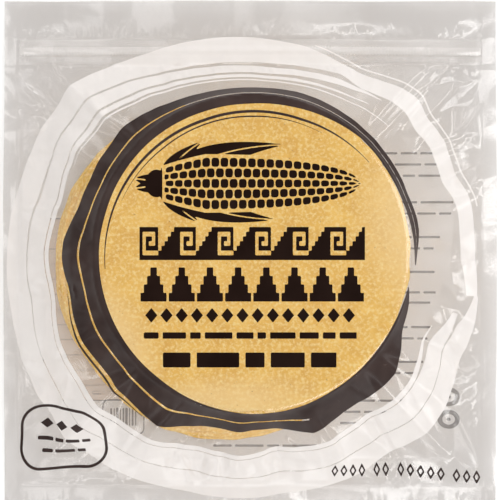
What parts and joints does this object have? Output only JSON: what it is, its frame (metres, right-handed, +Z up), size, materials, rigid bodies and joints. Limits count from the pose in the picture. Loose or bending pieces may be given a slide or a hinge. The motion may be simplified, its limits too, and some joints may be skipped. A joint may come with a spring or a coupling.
{
  "type": "bag of corn tortillas",
  "caption": "Stack of round corn tortillas lying sealed in a clear, printed press-seal bag of thin film.",
  "frame": {"origin": "under the middle of the bag, on the surface that it lies on", "axes": "+X to the right and +Y towards the press seal, seen from above with the printed side up; +Z up"},
  "size_m": [0.24, 0.2466, 0.0456],
  "materials": {
    "tortilla_bag": "glossy clear film over golden corn tortillas, with dark and white print"
  },
  "bodies": {
    "root": {"tortilla_bag": "tortilla_bag"}
  },
  "joints": []
}
